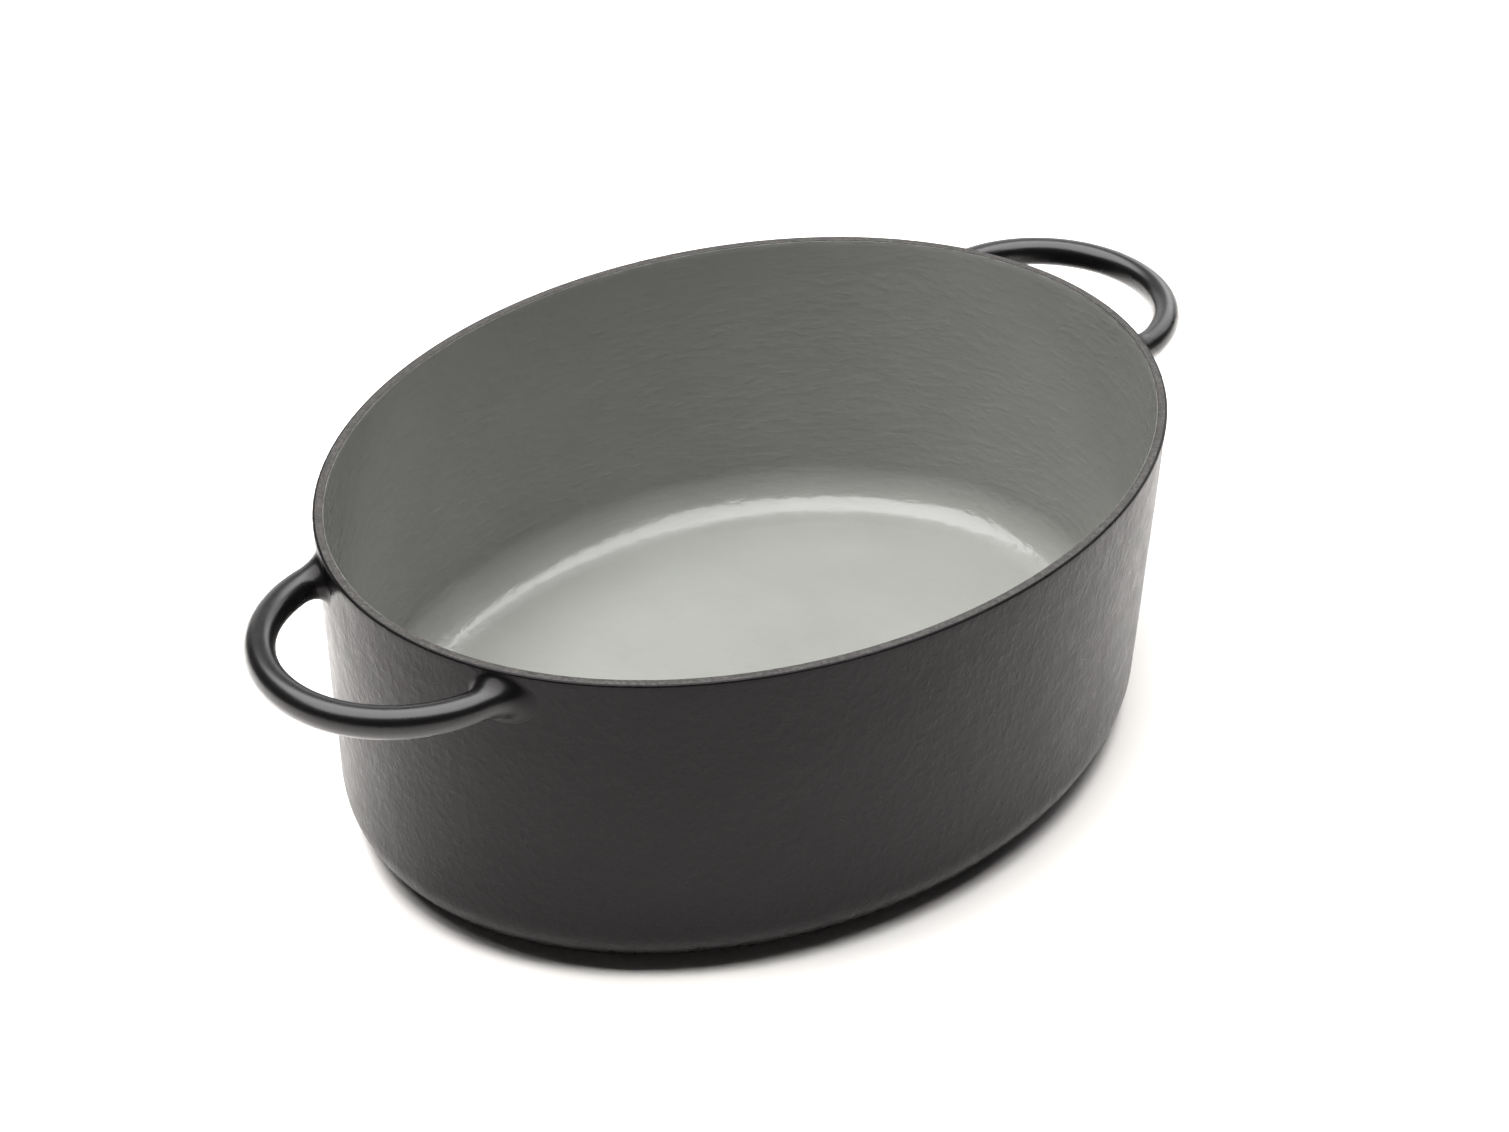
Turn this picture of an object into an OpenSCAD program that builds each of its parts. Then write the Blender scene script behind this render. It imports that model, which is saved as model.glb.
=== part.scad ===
// Oval cast iron dutch oven, enamelled, without its lid.
// Millimetres. Origin: centre of the flat base. +Z up, +X along the oval, the
// two loop handles stand out at -X (left) and +X (right).
// The oval is eight arcs of three radii, within 0.4 mm of a true ellipse, so
// every wall, corner and skin keeps one thickness all the way round.

/* [Part to draw] */
// Node to draw on its own, or all of them

/* [Pot] */
// Outside length of the oval at the rim, without the handles
rim_length = 310; // [296:1:330]
// Outside width of the oval at the rim
rim_width = 239; // [226:1:248]
// Height from the base to the ground rim
pot_height = 116; // [106:1:126]
// How far the wall leans in from the rim to the base (casting draft)
wall_draft = 3.6; // [2:0.1:5]
// Radius of the outside corner between wall and base
base_radius = 19; // [16:0.5:22]
// Thickness of the iron in the wall
iron_wall = 2.8; // [2.6:0.1:3.4]
// Thickness of the iron in the floor
iron_floor = 5; // [4:0.1:6]
// Radius of the inside corner between wall and floor
floor_radius = 17; // [14:0.5:19]

/* [Enamel] */
// Thickness of the black enamel on the outside
outer_enamel = 0.4; // [0.3:0.05:0.5]
// Thickness of the grey enamel on the inside
inner_enamel = 0.35; // [0.3:0.05:0.5]
// How far the lining stops below the ground rim
lining_drop = 0.25; // [0.2:0.05:0.5]
// Width of the bevel on the outer corner of the rim
rim_bevel = 0.5; // [0.3:0.05:0.7]

/* [Loop handles] */
// How far the middle of the bar reaches out beyond the rim
handle_reach = 34.5; // [32:0.5:38]
// Distance between the middles of the bar's two roots
handle_spread = 85.2; // [82:0.2:90]
// How far the middle of the bar lies below the rim
handle_drop = 8.9; // [8:0.1:12]
// Thickness of the round bar
bar = 9.8; // [9:0.1:11]
// Radius of the flare where each root runs into the wall
root_flare = 7.4; // [6.6:0.1:8]
// Length of the flare along the bar
root_length = 9; // [7:0.5:11]
// How far the bar's straight end runs back into the pot
root_run = 9; // [8:0.5:10]

/* [Hidden] */
$fn = 120;
a = rim_length / 2;
b = rim_width / 2;
lean = atan(wall_draft / pot_height);
wall_total = outer_enamel + iron_wall + inner_enamel;
floor_top = iron_floor + inner_enamel;

// radii of the oval's arcs: ends, quarters and sides. The arcs hand over where
// the wall faces (4, 3) and (44, 117), which are both exact as decimals.
P1 = [0.8, 0.6];
P2 = [0.352, 0.936];
r_end = round(10.3333 * b * b / a) / 10;
vv = (r_end + a - 2 * b) / 0.224;
uu = (b - r_end - 0.064 * vv) / 0.4;
r_mid = r_end + uu;
r_side = r_mid + vv;
end_x = a - r_end;
mid_x = end_x - uu * P1[0];
mid_y = -uu * P1[1];
side_y = b - r_side;
// how far in from the rim the swept section reaches, and where the plate's corners lie
keep = 60;
plate_in = 45;

// centre line of each loop: a half circle about a point inside the rim end
loop_r = handle_spread / 2;
loop_x = a + handle_reach - loop_r;
handle_z = pot_height - handle_drop;

iron_black = [0.13, 0.125, 0.13];
ground_iron = [0.42, 0.39, 0.37];
lining_grey = [0.56, 0.57, 0.56];

// inset of the corner's centre, and so of the end of the flat
function corner_in(d, z0, r) = d + tan(lean) * (pot_height - z0 - r) + r / cos(lean);

// Points up a surface that runs d inside the outer one: round its corner of
// radius r from the floor at z0, then up the wall to z1. x = 0 is the rim.
function up_surface(d, z0, r, z1, steps = 12) =
    let (cx = -corner_in(d, z0, r), cz = z0 + r)
    concat([for (i = [0:steps]) let (t = -90 + (90 - lean) * i / steps) [cx + r * cos(t), cz + r * sin(t)]],
           [[-d - tan(lean) * (pot_height - z1), z1]]);

function back_to_front(v) = [for (i = [len(v) - 1:-1:0]) v[i]];

// Everything outside the middle plate between two directions as seen from c,
// the centre of an arc of radius r.
module wedge(c, r, d0, d1) {
    far = 500;
    near = r - plate_in;
    translate([0, 0, -20]) linear_extrude(pot_height + 40)
        polygon([c + near * d0, c + far * d0, c + far * (d0 + d1), c + far * d1, c + near * d1]);
}

// One arc of the oval: a half section turned about c at radius r, from angle
// t0 through sweep, then trimmed to the two directions.
module arc_of(c, r, d0, d1, t0, sweep) {
    intersection() {
        translate([c[0], c[1], 0]) rotate([0, 0, t0])
            rotate_extrude(angle = sweep) translate([r, 0]) children();
        wedge(c, r, d0, d1);
    }
}

// Sweeps a half section round the oval.
module around() {
    arc_of([end_x, 0], r_end, [P1[0], -P1[1]], P1, -90, 180) children();
    arc_of([-end_x, 0], r_end, [-P1[0], P1[1]], -P1, 90, 180) children();
    arc_of([mid_x, mid_y], r_mid, P1, P2, 0, 90) children();
    arc_of([-mid_x, mid_y], r_mid, [-P2[0], P2[1]], [-P1[0], P1[1]], 90, 90) children();
    arc_of([-mid_x, -mid_y], r_mid, -P1, -P2, 180, 90) children();
    arc_of([mid_x, -mid_y], r_mid, [P2[0], -P2[1]], [P1[0], -P1[1]], -90, 90) children();
    arc_of([0, side_y], r_side, P2, [-P2[0], P2[1]], 0, 180) children();
    arc_of([0, -side_y], r_side, -P2, [P2[0], -P2[1]], 180, 180) children();
}

// Plate that closes the floor inside the swept part, edge to edge with it.
module middle(z0, z1) {
    x1 = end_x + (r_end - plate_in) * P1[0];
    y1 = (r_end - plate_in) * P1[1];
    x2 = mid_x + (r_mid - plate_in) * P2[0];
    y2 = mid_y + (r_mid - plate_in) * P2[1];
    translate([0, 0, z0]) linear_extrude(z1 - z0)
        polygon([[x1, y1], [x2, y2], [-x2, y2], [-x1, y1], [-x1, -y1], [-x2, -y2], [x2, -y2], [x1, -y1]]);
}

iron_out = up_surface(outer_enamel, outer_enamel, base_radius - outer_enamel, pot_height - rim_bevel);
iron_in = up_surface(outer_enamel + iron_wall, iron_floor, floor_radius + inner_enamel, pot_height);
coat_out = up_surface(0, 0, base_radius, pot_height - rim_bevel);
lining_out = up_surface(outer_enamel + iron_wall, iron_floor, floor_radius + inner_enamel, pot_height - lining_drop);
lining_in = up_surface(wall_total, floor_top, floor_radius, pot_height - lining_drop);

module iron_section()
    polygon(concat([[-keep, 0], [iron_out[0][0], 0]], iron_out,
                   [[-outer_enamel - rim_bevel, pot_height]], back_to_front(iron_in), [[-keep, iron_floor]]));

module coat_section()
    polygon(concat([[iron_out[0][0], 0]], [for (i = [1:len(coat_out) - 1]) coat_out[i]], back_to_front(iron_out)));

module lining_section()
    polygon(concat([[-keep, iron_floor]], lining_out, back_to_front(lining_in), [[-keep, floor_top]]));

// One loop at +X: a half ring of bar and a flare at each root, running on into the pot.
module loop() {
    translate([loop_x, 0, handle_z]) {
        rotate([0, 0, -90]) rotate_extrude(angle = 180) translate([loop_r, 0]) circle(d = bar);
        for (s = [-1, 1]) translate([-root_run, s * loop_r, 0]) rotate([0, 90, 0]) root();
    }
}

// Bar end and trumpet flare, its wide end at z = 0, inside the wall.
module root() {
    cylinder(d = bar, h = root_run);
    rotate_extrude() flare_section();
}

// Half section of the flare: a cylinder with a hollow arc turned out of it.
module flare_section() {
    tip = bar / 2 - 0.3;
    rise = root_flare - tip;
    rr = (rise * rise + root_length * root_length) / (2 * rise);
    difference() {
        square([root_flare, root_run - 1]);
        translate([tip + rr, root_run - 1]) circle(r = rr, $fn = 180);
    }
}

// The end of the pot inside the enamel, as one turned solid.
module end_core() {
    core = up_surface(outer_enamel, outer_enamel, base_radius - outer_enamel, pot_height + 5);
    translate([end_x, 0, 0]) rotate([0, 0, -90]) rotate_extrude(angle = 180)
        polygon(concat([[0, outer_enamel]], [for (p = core) [r_end + p[0], p[1]]], [[0, pot_height + 5]]));
}

module pot_body() color(ground_iron) {
    around() iron_section();
    middle(0, iron_floor);
}

module exterior_enamel() color(iron_black) difference() {
    around() coat_section();
    loop();
    mirror([1, 0, 0]) loop();
}

module enamel_lining() color(lining_grey) {
    around() lining_section();
    middle(iron_floor, floor_top);
}

module right_handle() color(iron_black) difference() {
    loop();
    end_core();
}

module left_handle() color(iron_black) mirror([1, 0, 0]) difference() {
    loop();
    end_core();
}

pot_body();
exterior_enamel();
enamel_lining();
left_handle();
right_handle();
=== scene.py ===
# Oval cast iron dutch oven, enamelled black outside and grey inside, without its lid.
import math

import bpy
import numpy as np
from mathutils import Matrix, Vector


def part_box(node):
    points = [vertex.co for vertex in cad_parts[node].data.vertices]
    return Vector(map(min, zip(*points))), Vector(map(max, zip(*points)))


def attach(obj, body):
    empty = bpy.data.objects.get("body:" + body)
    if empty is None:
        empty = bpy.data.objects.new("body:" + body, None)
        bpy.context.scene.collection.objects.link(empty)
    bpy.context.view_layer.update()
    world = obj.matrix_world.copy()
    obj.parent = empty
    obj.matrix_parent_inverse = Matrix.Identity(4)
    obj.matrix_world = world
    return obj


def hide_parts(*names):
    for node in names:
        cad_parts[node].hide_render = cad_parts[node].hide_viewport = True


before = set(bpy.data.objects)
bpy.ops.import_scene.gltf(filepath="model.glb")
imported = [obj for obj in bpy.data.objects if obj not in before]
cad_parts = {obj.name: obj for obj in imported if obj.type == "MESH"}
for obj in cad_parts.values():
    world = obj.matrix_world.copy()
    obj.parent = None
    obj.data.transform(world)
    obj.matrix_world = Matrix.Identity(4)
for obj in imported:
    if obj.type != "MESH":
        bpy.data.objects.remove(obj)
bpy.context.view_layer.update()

MM = 0.001

# ---------------------------------------------------------------- the frame's sizes, in mm
lo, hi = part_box("exterior_enamel")
body_lo, body_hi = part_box("pot_body")
handle_lo, handle_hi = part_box("right_handle")
A = round((hi[0] - lo[0]) / 2 / MM, 1)          # half length at the rim
B = round((hi[1] - lo[1]) / 2 / MM, 1)          # half width at the rim
H = body_hi[2] / MM                             # base to ground rim
R_OUT = 18.8                                    # outside corner at the base
DRAFT_END, DRAFT_SIDE = 4.2, 2.75               # lean of the wall, over the whole height
WALL = 3.54                                     # iron and both enamels, at the rim
COAT = 0.4
LINING = 0.35
SHOULDER = 0.8                                  # rounding of the rim's outer corner
FLOOR_TOP = 5.35
R_IN = 17.0

# loop handle: an elliptical ring of bar, its roots in the end wall
BAR_H = (handle_hi[2] - handle_lo[2]) / MM / 2
LOOP_Z = (handle_hi[2] + handle_lo[2]) / MM / 2 if BAR_H < 5.5 else 107.1
LOOP_CX = A - 9.0
LOOP_HY = 42.26
BAR_W = 4.82
BAR_H = 4.97
LOOP_HX = handle_hi[0] / MM - BAR_W - LOOP_CX
LOOP_Z = 107.1


# ---------------------------------------------------------------- shape helpers
def plan(theta, inset):
    """The rim ellipse at angle theta, moved in by inset along its normal, in mm."""
    c, s = np.cos(theta), np.sin(theta)
    nx, ny = B * c, A * s
    n = np.hypot(nx, ny)
    return A * c - inset * nx / n, B * s - inset * ny / n


def draft(theta):
    return DRAFT_SIDE + (DRAFT_END - DRAFT_SIDE) * np.cos(theta) ** 2


def outer_inset(theta, z):
    """Inset of the outside surface at height z."""
    d = draft(theta)
    lean = np.arctan(d / H)
    centre = d * (1 - R_OUT / H) + R_OUT / np.cos(lean)
    z_tan = R_OUT * (1 - np.sin(lean))
    wall = d * (1 - z / H)
    arc = centre - np.sqrt(np.maximum(R_OUT ** 2 - (R_OUT - np.minimum(z, R_OUT)) ** 2, 0))
    return np.where(z >= z_tan, wall, arc)


def even(perimeter_count):
    """Angles that are evenly spaced along the rim."""
    t = np.linspace(0, 2 * np.pi, 4097)
    x, y = A * np.cos(t), B * np.sin(t)
    length = np.concatenate([[0], np.cumsum(np.hypot(np.diff(x), np.diff(y)))])
    goal = np.linspace(0, length[-1], perimeter_count + 1)[:-1]
    return np.interp(goal, length, t), length[-1]


def waves(seed, around, span, low, high, count, stretch=1.0):
    """A smooth random field, periodic around the pot: a function of (fraction round, mm up), with rms 1."""
    rng = np.random.default_rng(seed)
    parts = []
    for _ in range(count):
        wavelength = low * (high / low) ** rng.random()
        angle = rng.random() * math.pi
        m = round(around / wavelength * math.cos(angle) / stretch)
        k = 2 * math.pi / wavelength * math.sin(angle)
        parts.append((m, k, rng.random() * 2 * math.pi, wavelength ** 0.8))

    norm = math.sqrt(sum(p[3] ** 2 for p in parts) / 2)

    def field(turn, up):
        total = np.zeros(np.broadcast(turn, up).shape)
        for m, k, phase, amp in parts:
            total += amp * np.cos(2 * np.pi * m * turn + k * up + phase)
        return total / norm

    return field


def smooth(edge0, edge1, x):
    t = np.clip((x - edge0) / (edge1 - edge0), 0, 1)
    return t * t * (3 - 2 * t)


def make_mesh(name, verts, faces, material, slot_name, *cad_nodes):
    mesh = bpy.data.meshes.new(name)
    mesh.from_pydata([tuple(float(c) * MM for c in v) for v in verts], [], faces)
    mesh.validate()
    mesh.polygons.foreach_set("use_smooth", [True] * len(mesh.polygons))
    mesh.update()
    obj = bpy.data.objects.new(name, mesh)
    bpy.context.scene.collection.objects.link(obj)
    mesh.materials.append(material)
    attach(obj, "root")
    if cad_nodes:
        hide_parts(*cad_nodes)
    return obj


def revolve_rows(rows, closed_profile=True, cap_start=False, cap_end=False):
    """Rows of rings (each n x 3) joined into one closed skin."""
    n = len(rows[0])
    verts = np.concatenate(rows)
    faces = []
    pairs = [(i, i + 1) for i in range(len(rows) - 1)]
    if closed_profile:
        pairs.append((len(rows) - 1, 0))
    for i, j in pairs:
        for k in range(n):
            k2 = (k + 1) % n
            faces.append((i * n + k, i * n + k2, j * n + k2, j * n + k))
    verts = [tuple(v) for v in verts]
    if cap_start:
        verts.append(tuple(np.mean(rows[0], axis=0)))
        c = len(verts) - 1
        faces += [(c, (k + 1) % n, k) for k in range(n)]
    if cap_end:
        verts.append(tuple(np.mean(rows[-1], axis=0)))
        c = len(verts) - 1
        base = (len(rows) - 1) * n
        faces += [(c, base + k, base + (k + 1) % n) for k in range(n)]
    return verts, faces


def ring(theta, inset, z):
    x, y = plan(theta, inset)
    return np.stack([x, y, np.broadcast_to(z, x.shape)], axis=1)


# ---------------------------------------------------------------- materials
def new_material(name):
    m = bpy.data.materials.new(name)
    m.use_nodes = True
    nt = m.node_tree
    return m, nt, nt.nodes["Principled BSDF"]


def add(nt, kind, **inputs):
    n = nt.nodes.new(kind)
    for key, value in inputs.items():
        n.inputs[key.replace("_", " ")].default_value = value
    return n


def object_coords(nt, scale=(1, 1, 1)):
    tc = nt.nodes.new("ShaderNodeTexCoord")
    mp = nt.nodes.new("ShaderNodeMapping")
    mp.inputs["Scale"].default_value = scale
    nt.links.new(tc.outputs["Object"], mp.inputs["Vector"])
    return mp.outputs["Vector"]


def noise(nt, vector, scale, detail=3.0, rough=0.55):
    n = add(nt, "ShaderNodeTexNoise", Scale=scale, Detail=detail, Roughness=rough)
    nt.links.new(vector, n.inputs["Vector"])
    return n.outputs["Fac"]


def ramp(nt, fac, stops):
    r = nt.nodes.new("ShaderNodeValToRGB")
    els = r.color_ramp.elements
    while len(els) > 1:
        els.remove(els[-1])
    els[0].position, els[0].color = stops[0]
    for pos, col in stops[1:]:
        e = els.new(pos)
        e.color = col
    nt.links.new(fac, r.inputs["Fac"])
    return r.outputs["Color"]


def bump(nt, height, strength, distance, normal=None):
    b = add(nt, "ShaderNodeBump", Strength=strength, Distance=distance)
    nt.links.new(height, b.inputs["Height"])
    if normal is not None:
        nt.links.new(normal, b.inputs["Normal"])
    return b.outputs["Normal"]


def grey(v, tint=(1, 1, 1)):
    return (v * tint[0], v * tint[1], v * tint[2], 1)


def black_enamel(name, base, rough_low, rough_high, dent):
    m, nt, p = new_material(name)
    v = object_coords(nt)
    warm = (1.04, 0.98, 1.0)
    cloud = noise(nt, v, 38.0, 4.0)
    nt.links.new(ramp(nt, cloud, [(0.25, grey(base * 0.75, warm)), (0.75, grey(base * 1.35, warm))]), p.inputs["Base Color"])
    patch = noise(nt, v, 160.0, 3.0)
    nt.links.new(ramp(nt, patch, [(0.3, grey(rough_low)), (0.7, grey(rough_high))]), p.inputs["Roughness"])
    p.inputs["Specular IOR Level"].default_value = COAT_SPEC
    p.inputs["Specular Tint"].default_value = (1.0, 0.945, 0.98, 1)
    # cast skin under the enamel: small upright dents, broader hollows, then the enamel's own fine orange peel
    tall = object_coords(nt, (1.0, 1.0, 0.75))
    dents = ramp(nt, noise(nt, tall, 430.0, 2.5, 0.55), [(0.40, grey(0.0)), (0.52, grey(0.25)), (0.70, grey(1.0))])
    n1 = bump(nt, dents, dent, 0.00011)
    cast = noise(nt, v, 130.0, 2.0, 0.5)
    n2 = bump(nt, cast, 0.8 * dent, 0.0003, n1)
    peel = noise(nt, v, 1100.0, 2.0, 0.5)
    n3 = bump(nt, peel, 0.3, 0.00004, n2)
    nt.links.new(n3, p.inputs["Normal"])
    return m


COAT_SPEC = 0.157
coat_material = black_enamel("black_enamel_satin", 0.0022, 0.26, 0.34, 0.62)
handle_material = black_enamel("black_enamel_handles", 0.0022, 0.26, 0.33, 0.18)
# the handled bar is smoother and glossier than the wall; the attribute fades this out at the roots
_nt = handle_material.node_tree
_p = _nt.nodes["Principled BSDF"]
_a = _nt.nodes.new("ShaderNodeAttribute")
_a.attribute_name = "bar"
_nt.links.new(_a.outputs["Fac"], _p.inputs["Coat Weight"])
_p.inputs["Coat Roughness"].default_value = 0.27
_p.inputs["Coat IOR"].default_value = 1.385


def grey_enamel():
    m, nt, p = new_material("grey_enamel_gloss")
    v = object_coords(nt)
    tint = (0.995, 1.01, 0.94)
    cloud = noise(nt, v, 22.0, 5.0)
    nt.links.new(ramp(nt, cloud, [(0.3, grey(0.182, tint)), (0.7, grey(0.200, tint))]), p.inputs["Base Color"])
    patch = noise(nt, v, 90.0, 3.0)
    nt.links.new(ramp(nt, patch, [(0.3, grey(0.13)), (0.7, grey(0.19))]), p.inputs["Roughness"])
    p.inputs["Specular IOR Level"].default_value = 0.5
    # painted shade: a ragged near-black band darkens the lining's top edge, just under the ground land, to dim its
    # bright edge
    cut = nt.nodes.new("ShaderNodeSeparateXYZ")
    nt.links.new(v, cut.inputs["Vector"])
    edge = add(nt, "ShaderNodeMapRange", From_Min=(H - 0.75) / 1000, From_Max=(H - 0.35) / 1000, To_Min=0.0, To_Max=0.72)
    nt.links.new(cut.outputs["Z"], edge.inputs["Value"])
    painted_edge_shade = add(nt, "ShaderNodeMath")
    painted_edge_shade.operation = "MULTIPLY"
    nt.links.new(edge.outputs["Result"], painted_edge_shade.inputs[0])
    nt.links.new(ramp(nt, noise(nt, v, 260.0, 3.0), [(0.35, grey(0.55)), (0.6, grey(1.0))]), painted_edge_shade.inputs[1])
    # painted shade: mixes the base colour towards near-black along the top edge
    edge_shade_mix = nt.nodes.new("ShaderNodeMix")
    edge_shade_mix.data_type = "RGBA"
    nt.links.new(painted_edge_shade.outputs[0], edge_shade_mix.inputs["Factor"])
    nt.links.new(p.inputs["Base Color"].links[0].from_socket, edge_shade_mix.inputs[6])
    # near-black colour of the painted edge shade
    edge_shade_mix.inputs[7].default_value = (0.030, 0.028, 0.026, 1)
    nt.links.new(edge_shade_mix.outputs[2], p.inputs["Base Color"])
    # the casting shows through as shallow marks that run along the wall
    flat = object_coords(nt, (1.0, 1.0, 2.3))
    marks = ramp(nt, noise(nt, flat, 150.0, 3.0, 0.55), [(0.38, grey(0.0)), (0.52, grey(0.3)), (0.72, grey(1.0))])
    n1 = bump(nt, marks, 0.45, 0.00022)
    dimple = noise(nt, v, 70.0, 2.0, 0.5)
    n2 = bump(nt, dimple, 0.35, 0.0004, n1)
    peel = noise(nt, v, 480.0, 2.0, 0.5)
    n3 = bump(nt, peel, 0.15, 0.00007, n2)
    nt.links.new(n3, p.inputs["Normal"])
    return m


lining_material = grey_enamel()


def ground_iron():
    m, nt, p = new_material("ground_iron")
    v = object_coords(nt)
    speck = noise(nt, v, 900.0, 4.0, 0.7)
    nt.links.new(ramp(nt, speck, [(0.34, (0.007, 0.0065, 0.006, 1)), (0.50, (0.023, 0.021, 0.0195, 1)), (0.70, (0.053, 0.049, 0.046, 1))]), p.inputs["Base Color"])
    wear = noise(nt, v, 300.0, 3.0)
    nt.links.new(ramp(nt, wear, [(0.3, grey(0.38)), (0.7, grey(0.62))]), p.inputs["Roughness"])
    p.inputs["Specular IOR Level"].default_value = 0.3
    grit = noise(nt, v, 1500.0, 3.0, 0.6)
    nt.links.new(bump(nt, grit, 0.4, 0.00008), p.inputs["Normal"])
    return m


iron_material = ground_iron()

# ---------------------------------------------------------------- handle roots, shared by coat and handles
def wall_x(y, z):
    """x of the +X end's outside surface at (y, z), in mm."""
    y = np.asarray(y, float)
    z = np.asarray(z, float)
    theta = np.arcsin(np.clip(y / B, -1, 1))
    for _ in range(12):
        inset = outer_inset(theta, z)
        x, yy = plan(theta, inset)
        theta = theta + (y - yy) / (B * np.cos(theta))
    return plan(theta, outer_inset(theta, z))[0]


def root_distance(y, z):
    """How far (y, z) is from the nearer root's axis."""
    return np.hypot(np.abs(y) - LOOP_HY, z - LOOP_Z)


# ---------------------------------------------------------------- outside enamel
N = 420
theta, around = even(N)
turn = np.arange(N) / N
cast_field = waves(7, around, H, 5.0, 15.0, 90, 1.25)
swell_field = waves(11, around, H, 30.0, 80.0, 24)


def cast_skin(th, tn, z, x, y):
    """How far the cast surface stands proud of the true form, in mm."""
    f = cast_field(tn, z)
    dents = -np.maximum(f - 0.35, 0) * 0.55 + np.minimum(f, 0) * 0.12
    calm = smooth(1.5, 7.0, H - z) * smooth(4.0, 20.0, z)
    near_root = smooth(11.0, 24.0, root_distance(y, z))
    near_root = np.where(np.abs(x) > A * 0.6, near_root, 1.0)
    end = 0.65 + 0.35 * smooth(0.35, 0.95, np.abs(np.cos(th)))
    return (0.085 * dents * end + 0.05 * swell_field(tn, z)) * calm * near_root


def outer_ring(t_arc=None, z=None, depth=0.0):
    """A ring on the outside surface: on the base corner at arc fraction t_arc, or on the wall at height z."""
    d = draft(theta)
    lean = np.arctan(d / H)
    if t_arc is not None:
        t = -np.pi / 2 + (np.pi / 2 - lean) * t_arc
        centre = d * (1 - R_OUT / H) + R_OUT / np.cos(lean)
        inset = centre - (R_OUT - depth) * np.cos(t)
        zz = R_OUT + (R_OUT - depth) * np.sin(t)
    else:
        inset = d * (1 - z / H) + depth / np.cos(lean)
        zz = np.full_like(theta, z)
    if depth == 0.0:
        x, y = plan(theta, inset)
        inset = inset - cast_skin(theta, turn, zz, x, y)
    return ring(theta, inset, zz)


rows = []
for i in range(17):
    rows.append(outer_ring(t_arc=i / 16))
z_start = R_OUT * (1 - math.sin(math.atan(DRAFT_SIDE / H)))
for z in np.linspace(z_start, H - SHOULDER, 58)[1:]:
    rows.append(outer_ring(z=z))
for i in range(1, 7):
    t = math.pi / 2 * i / 6
    rows.append(ring(theta, SHOULDER * (1 - math.cos(t)) + draft(theta) * SHOULDER / H, H - SHOULDER + SHOULDER * math.sin(t)))
# back down the iron's side
rows.append(ring(theta, SHOULDER + draft(theta) * 0.6 / H, H - 0.5))
for z in (H - 3.0, 95.0, 70.0, 45.0, 24.0):
    rows.append(outer_ring(z=z, depth=COAT))
for i in range(5, -1, -1):
    rows.append(outer_ring(t_arc=i / 5, depth=COAT))
rows[-1][:, 2] = 0.0
verts, faces = revolve_rows(rows)
coat = make_mesh("coat_outside", verts, faces, coat_material, "black_enamel", "exterior_enamel")

# ---------------------------------------------------------------- iron: ground rim land and flat base
M = 300
th_i, _ = even(M)


def iron_ring(inset, z):
    return ring(th_i, inset, z)


d_i = draft(th_i)
lean_i = np.arctan(d_i / H)
centre_i = d_i * (1 - R_OUT / H) + R_OUT / np.cos(lean_i)
rows = []
rows.append(iron_ring(centre_i + 0.02, 0.0))
for i in range(1, 6):
    t = -np.pi / 2 + (np.pi / 2 - lean_i) * i / 5
    rows.append(iron_ring(centre_i - (R_OUT - COAT - 0.02) * np.cos(t), R_OUT + (R_OUT - COAT - 0.02) * np.sin(t)))
for z in (45.0, 80.0, H - 3.0):
    rows.append(iron_ring(d_i * (1 - z / H) + COAT + 0.02, z))
rows.append(iron_ring(SHOULDER + 0.05, H - 0.5))
rows.append(iron_ring(SHOULDER + 0.02, H - 0.02))
rows.append(iron_ring(SHOULDER + 0.12, H))
for k in range(1, 4):
    rows.append(iron_ring(SHOULDER + 0.12 + (WALL - LINING - 0.1 - SHOULDER - 0.12) * k / 3, H))
rows.append(iron_ring(WALL - LINING, H - 0.1))
for z in (H - 2.0, 90.0, 60.0, 32.0):
    rows.append(iron_ring(d_i * (1 - z / H) + WALL - LINING - 0.02, z))
centre_in = d_i * (1 - (FLOOR_TOP + R_IN) / H) + WALL + R_IN / np.cos(lean_i)
for i in range(4, -1, -1):
    t = -np.pi / 2 + (np.pi / 2 - lean_i) * i / 4
    rows.append(iron_ring(centre_in - (R_IN + LINING - 0.02) * np.cos(t), FLOOR_TOP + R_IN + (R_IN + LINING - 0.02) * np.sin(t)))
verts, faces = revolve_rows(rows, closed_profile=False, cap_start=True, cap_end=True)
iron = make_mesh("iron_body", verts, faces, iron_material, "iron", "pot_body")
# smooth shading on every face of the iron
iron.data.polygons.foreach_set("use_smooth", [True] * len(iron.data.polygons))

# ---------------------------------------------------------------- inside enamel
K = 360
th_l, around_l = even(K)
turn_l = np.arange(K) / K
d_l = draft(th_l)
lean_l = np.arctan(d_l / H)
dimple_field = waves(23, around_l, H, 6.0, 18.0, 70)
swell_in = waves(29, around_l, H, 35.0, 90.0, 20)


def inner_skin(z):
    calm = smooth(1.5, 8.0, H - z) * smooth(FLOOR_TOP + 4, FLOOR_TOP + R_IN + 6, z)
    f = dimple_field(turn_l, z)
    return (0.035 * np.maximum(f - 0.4, 0) + 0.03 * swell_in(turn_l, z)) * calm


rows = []
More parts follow.
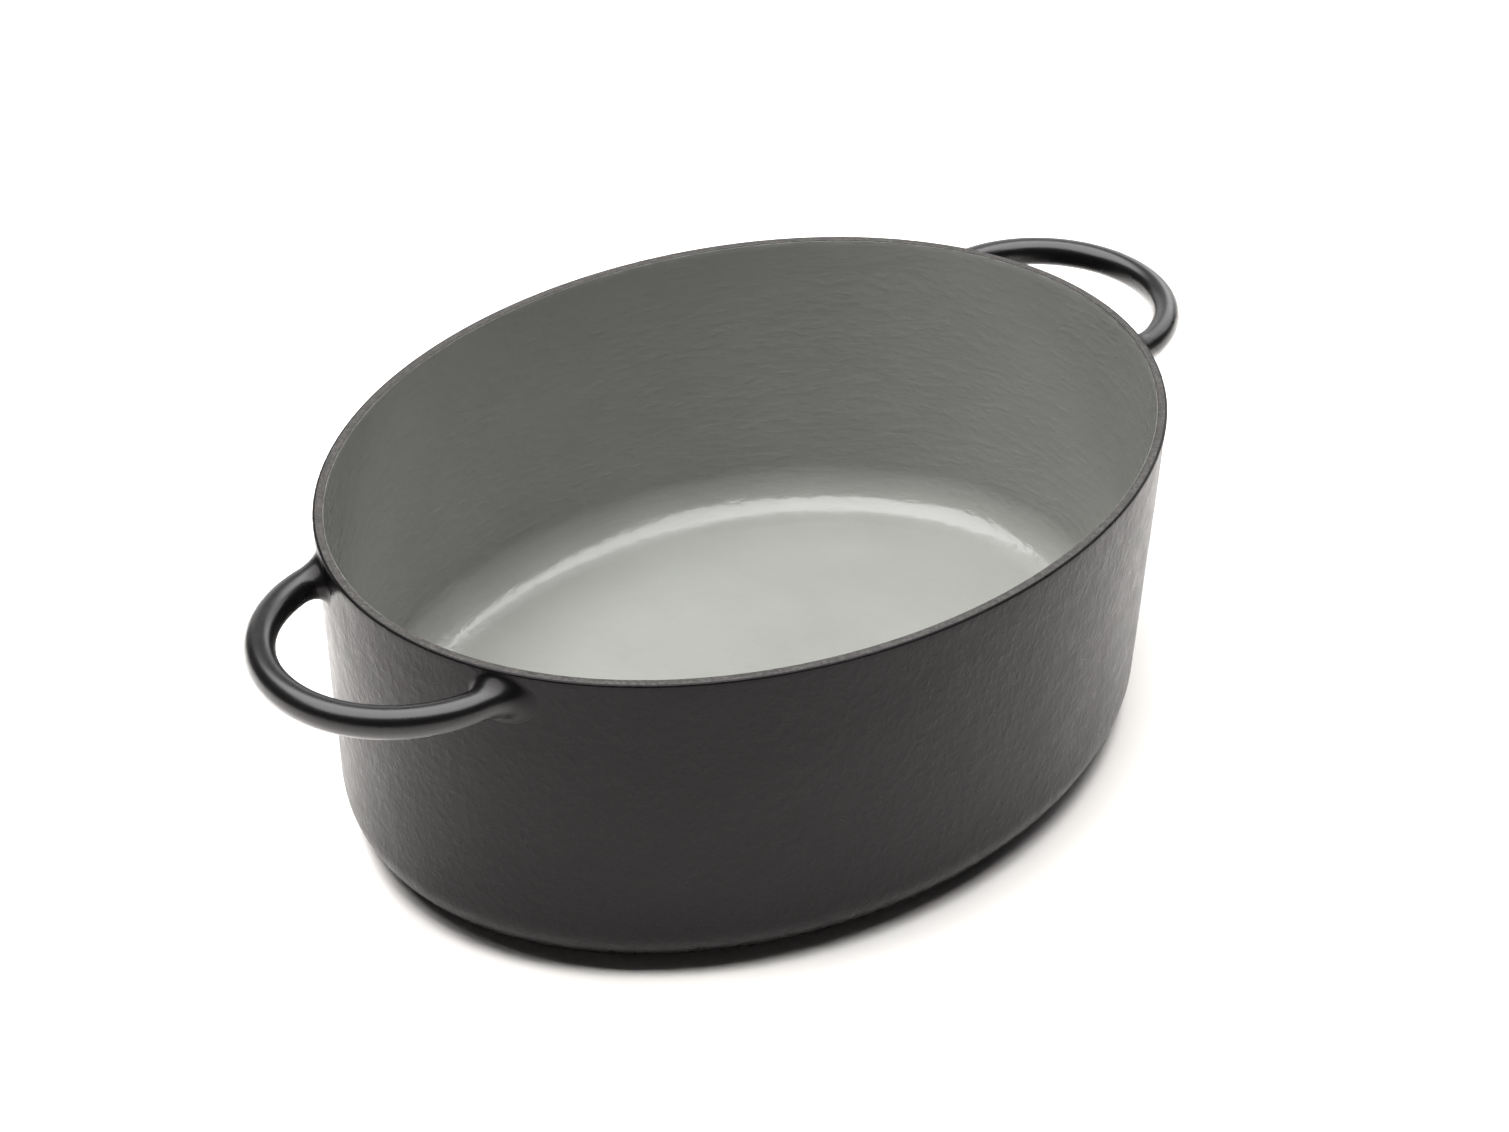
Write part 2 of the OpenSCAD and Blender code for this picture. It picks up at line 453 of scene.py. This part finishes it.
# lip: a thin rounded edge just below the ground land
r_lip = LINING / 2
lip_c = H - 0.25 - r_lip
rows.append(ring(th_l, WALL - LINING + 0.01, H - 1.2))
for i in range(6):
    t = math.pi * (1 - i / 5)
    rows.append(ring(th_l, WALL - r_lip + r_lip * math.cos(t), lip_c + r_lip * math.sin(t)))
z_in = FLOOR_TOP + R_IN * (1 - np.sin(lean_l))
for k, q in enumerate(np.linspace(0, 1, 52)[1:]):
    z = (H - 0.6) + (z_in - (H - 0.6)) * q
    inset = d_l * (1 - z / H) + WALL
    rows.append(ring(th_l, inset - inner_skin(z), z))
centre_l = d_l * (1 - (FLOOR_TOP + R_IN) / H) + WALL + R_IN / np.cos(lean_l)
for i in range(1, 21):
    t = -lean_l + (-np.pi / 2 + lean_l) * i / 20
    rows.append(ring(th_l, centre_l - R_IN * np.cos(t), FLOOR_TOP + R_IN + R_IN * np.sin(t)))
edge = rows[-1].copy()
for s in (0.96, 0.9, 0.82, 0.72, 0.6, 0.47, 0.34, 0.2, 0.08):
    r = edge.copy()
    r[:, 0] *= s
    r[:, 1] *= s
    rows.append(r)
verts, faces = revolve_rows(rows, closed_profile=False, cap_end=True)
# the hidden back of the lining, against the iron
back_rows = [rows[0]]
for z in (90.0, 60.0, 32.0):
    back_rows.append(ring(th_l, d_l * (1 - z / H) + WALL - LINING, z))
for i in range(5):
    t = -lean_l + (-np.pi / 2 + lean_l) * i / 4
    back_rows.append(ring(th_l, centre_l - (R_IN + LINING) * np.cos(t), FLOOR_TOP + R_IN + (R_IN + LINING) * np.sin(t)))
base = len(verts)
n = K
for r in back_rows[1:]:
    verts += [tuple(v) for v in r]
previous = 0
for i in range(1, len(back_rows)):
    start = base + (i - 1) * n
    for k in range(n):
        k2 = (k + 1) % n
        faces.append((previous + k2, previous + k, start + k, start + k2))
    previous = start
verts.append((0.0, 0.0, FLOOR_TOP - LINING))
c = len(verts) - 1
faces += [(c, previous + (k + 1) % n, previous + k) for k in range(n)]
lining = make_mesh("lining_inside", verts, faces, lining_material, "grey_enamel", "enamel_lining")


# ---------------------------------------------------------------- loop handles
def loop_centre(al):
    return np.array([LOOP_CX + LOOP_HX * math.sin(al), LOOP_HY * math.cos(al), LOOP_Z])


def loop_frame(al):
    """Centre, outward normal and direction towards the +Y root, at angle al from that root."""
    c = loop_centre(al)
    t = np.array([-LOOP_HX * math.cos(al), LOOP_HY * math.sin(al), 0.0])
    t /= np.linalg.norm(t)
    nrm = np.array([LOOP_HY * math.sin(al), LOOP_HX * math.cos(al), 0.0])
    nrm /= np.linalg.norm(nrm)
    return c, nrm, t


SEG = 40


def by_direction(psi, away, towards, up, down):
    """A size that changes smoothly with the direction round the root: psi 0 is away from the loop, 90 up."""
    c, s = math.cos(psi), math.sin(psi)
    side = away if c > 0 else towards
    rise = up if s > 0 else down
    return 1 / math.sqrt((c / side) ** 2 + (s / rise) ** 2)


def bar_point(al, psi):
    c, nrm, t = loop_frame(al)
    e = 2.15
    cp, sp = math.cos(psi), math.sin(psi)
    u = BAR_W * math.copysign(abs(cp) ** (2 / e), cp)
    v = BAR_H * math.copysign(abs(sp) ** (2 / e), sp)
    # faint parting line round the middle of the bar
    ridge = 0.10 * math.exp(-((abs(psi % math.pi) if psi % math.pi < math.pi / 2 else math.pi - psi % math.pi) / 0.10) ** 2)
    u *= 1 + ridge / BAR_W
    return c + u * nrm + np.array([0, 0, v])


def root_column(psi):
    """One line from the middle of the loop to the wall: bar first, then the fillet and its footing."""
    f = by_direction(psi, 6.0, 5.0, 3.1, 5.5)         # out along the wall
    run = by_direction(psi, 9.5, 8.0, 8.0, 8.5)     # along the bar
    lo_a, hi_a = 0.0, math.pi / 2
    for _ in range(40):
        mid = (lo_a + hi_a) / 2
        p = bar_point(mid, psi)
        gap = p[0] - float(wall_x(p[1], min(p[2], H - 1)))
        if gap > run:
            hi_a = mid
        else:
            lo_a = mid
    a0 = (lo_a + hi_a) / 2
    points = [bar_point(math.pi / 2 + (a0 - math.pi / 2) * k / BARS, psi) for k in range(BARS + 1)]
    p0 = points[-1]
    _, _, d0 = loop_frame(a0)
    reach_y, reach_z = (BAR_W + f) * math.cos(psi), (BAR_H + f) * math.sin(psi)

    def foot(k):
        y = LOOP_HY + reach_y * k
        z = min(LOOP_Z + reach_z * k, H - SHOULDER)
        return np.array([float(wall_x(y, z)), y, z])

    p3 = foot(1.0)
    d3 = foot(1.02) - foot(0.98)
    d3 /= max(np.linalg.norm(d3), 1e-9)
    b1 = p0 + d0 * 0.60 * run
    b2 = p3 - d3 * 0.60 * f
    normal_in = np.array([-1.0, -0.45, 0.0]) / math.hypot(1.0, 0.45)
    for j in range(1, FILLET + 1):
        t = j / FILLET
        q = (1 - t) ** 3 * p0 + 3 * (1 - t) ** 2 * t * b1 + 3 * (1 - t) * t * t * b2 + t ** 3 * p3
        points.append(q + normal_in * 0.04 * smooth(0.75, 1.0, t))
    points.append(points[-1] + normal_in * 0.5 + (np.array([0, LOOP_HY, LOOP_Z]) - np.array([0, p3[1], p3[2]])) * 0.12)
    return points


BARS, FILLET = 34, 14


def bar_amount(x, y, z):
    """1 on the bar, fading to 0 where the root runs into the wall."""
    gap = abs(x) - float(wall_x(min(abs(y), B - 1), min(z, H - 1)))
    return float(smooth(1.0, 9.0, gap))



def build_handle(name, side, cad_node):
    columns = [root_column(2 * math.pi * k / SEG) for k in range(SEG)]
    half = np.array(columns)                               # SEG x rows x 3, middle of the loop first
    rows = [half[:, j] for j in range(half.shape[1])]
    mirrored = []
    for r in rows[1:]:
        m = r.copy()
        m[:, 1] *= -1
        mirrored.append(m)
    rings = rows[::-1] + mirrored
    verts, faces = revolve_rows(rings, closed_profile=False, cap_start=True, cap_end=True)
    verts = [(side * v[0], v[1], v[2]) for v in verts]
    if side < 0:
        faces = [f[::-1] for f in faces]
    obj = make_mesh(name, verts, faces, handle_material, "handle_black", cad_node)
    bar = obj.data.attributes.new("bar", "FLOAT", "POINT")
    bar.data.foreach_set("value", [bar_amount(*v) for v in verts])
    return obj


right = build_handle("loop_handle_right", 1, "right_handle")
left = build_handle("loop_handle_left", -1, "left_handle")

# consistent outward faces
import bmesh
for o in (coat, iron, lining, right, left):
    bm = bmesh.new()
    bm.from_mesh(o.data)
    bmesh.ops.recalc_face_normals(bm, faces=bm.faces)
    bm.to_mesh(o.data)
    bm.free()

# ---------------------------------------------------------------- floor, light, camera
floor_mesh = bpy.data.meshes.new("floor")
floor_mesh.from_pydata([(-6, -6, -0.0002), (6, -6, -0.0002), (6, 6, -0.0002), (-6, 6, -0.0002)], [], [(0, 1, 2, 3)])
floor = bpy.data.objects.new("floor", floor_mesh)
bpy.context.scene.collection.objects.link(floor)
fm, nt, p = new_material("pale_floor")
p.inputs["Base Color"].default_value = (0.82, 0.795, 0.77, 1)
p.inputs["Emission Color"].default_value = (1, 1, 1, 1)
p.inputs["Emission Strength"].default_value = 0.0
p.inputs["Roughness"].default_value = 0.8
p.inputs["Specular IOR Level"].default_value = 0.2
floor_mesh.materials.append(fm)

world = bpy.data.worlds.new("studio")
bpy.context.scene.world = world
world.use_nodes = True
world.node_tree.nodes["Background"].inputs["Color"].default_value = (1, 1, 1, 1)
world.node_tree.nodes["Background"].inputs["Strength"].default_value = 0.04

AZ, EL, ROLL = math.radians(-45.08095), math.radians(34.42774), math.radians(1.15148)


def soft_box(name, where, towards, size, power, spread=180.0):
    data = bpy.data.lights.new(name, "AREA")
    data.shape = "RECTANGLE"
    data.size, data.size_y = size
    data.energy = power
    data.spread = math.radians(spread)
    o = bpy.data.objects.new(name, data)
    bpy.context.scene.collection.objects.link(o)
    o.location = where
    d = np.array(towards, float) - np.array(where, float)
    d /= np.linalg.norm(d)
    up = np.array([0.0, 0.0, 1.0]) if abs(d[2]) < 0.95 else np.array([-math.sin(AZ), math.cos(AZ), 0.0])
    x = np.cross(d, up)
    x /= np.linalg.norm(x)
    y = np.cross(x, d)
    import mathutils
    o.matrix_world = mathutils.Matrix(((x[0], y[0], -d[0], where[0]), (x[1], y[1], -d[1], where[1]), (x[2], y[2], -d[2], where[2]), (0, 0, 0, 1)))
    return o


toward_camera = np.array([math.sin(AZ), -math.cos(AZ), 0.0])
to_right = np.array([math.cos(AZ), math.sin(AZ), 0.0])


def at(forward, right_by, up):
    """A place given as distance from the pot towards the camera, to the picture's right, and up."""
    v = toward_camera * forward + to_right * right_by
    return (float(v[0]), float(v[1]), float(up))




def panel(name, where, towards, size, radiance):
    """A soft box of even radiance."""
    return soft_box(name, where, towards, size, radiance * math.pi * size[0] * size[1])


# one big overhead box for the reflections, and a smaller one above it that carries the light
top = panel("top_box", at(-0.32, -0.14, 2.2), at(-0.32, -0.14, 0.0), (3.5, 3.0), 6.2)
top.visible_diffuse = False
key = panel("key_box", at(0.02, -0.10, 2.3), at(0.02, -0.10, 0.0), (1.9, 1.6), 14.4)
key.visible_glossy = False
panel("back_box", at(-2.6, -0.1, 1.10), at(0.0, 0.0, 0.1), (3.8, 0.7), 1.2)
panel("back_right_box", at(-2.1, 1.5, 1.5), at(0.0, 0.0, 0.05), (2.2, 1.3), 2.2)
panel("back_wall", at(-2.8, 0.0, 0.40), at(0.0, 0.0, 0.40), (5.0, 0.8), 0.9)
left = soft_box("left_floor_box", at(0.08, -0.50, 0.9), at(0.06, -0.36, 0.0), (0.3, 0.5), 3.0, 95.0)
left.visible_glossy = False

camera_data = bpy.data.cameras.new("camera")
camera_data.sensor_fit = "HORIZONTAL"
camera_data.sensor_width = 36.0
camera_data.lens = 71.125
camera_data.clip_start = 0.05
camera_data.clip_end = 30.0
camera = bpy.data.objects.new("camera", camera_data)
bpy.context.scene.collection.objects.link(camera)
back = np.array([math.sin(AZ) * math.cos(EL), -math.cos(AZ) * math.cos(EL), math.sin(EL)])
fwd = -back
rt = np.cross(fwd, [0, 0, 1])
rt /= np.linalg.norm(rt)
upv = np.cross(rt, fwd)
r2 = math.cos(ROLL) * rt + math.sin(ROLL) * upv
u2 = -math.sin(ROLL) * rt + math.cos(ROLL) * upv
place = (2.35115 * r2 + 52.80955 * u2 - 1039.08817 * fwd) * MM
import mathutils
camera.matrix_world = mathutils.Matrix(((r2[0], u2[0], -fwd[0], place[0]), (r2[1], u2[1], -fwd[1], place[1]), (r2[2], u2[2], -fwd[2], place[2]), (0, 0, 0, 1)))
bpy.context.scene.camera = camera

bpy.context.scene.view_settings.view_transform = "Standard"
bpy.context.scene.view_settings.look = "None"
bpy.context.scene.view_settings.exposure = 0.0
bpy.context.scene.view_settings.gamma = 1.0
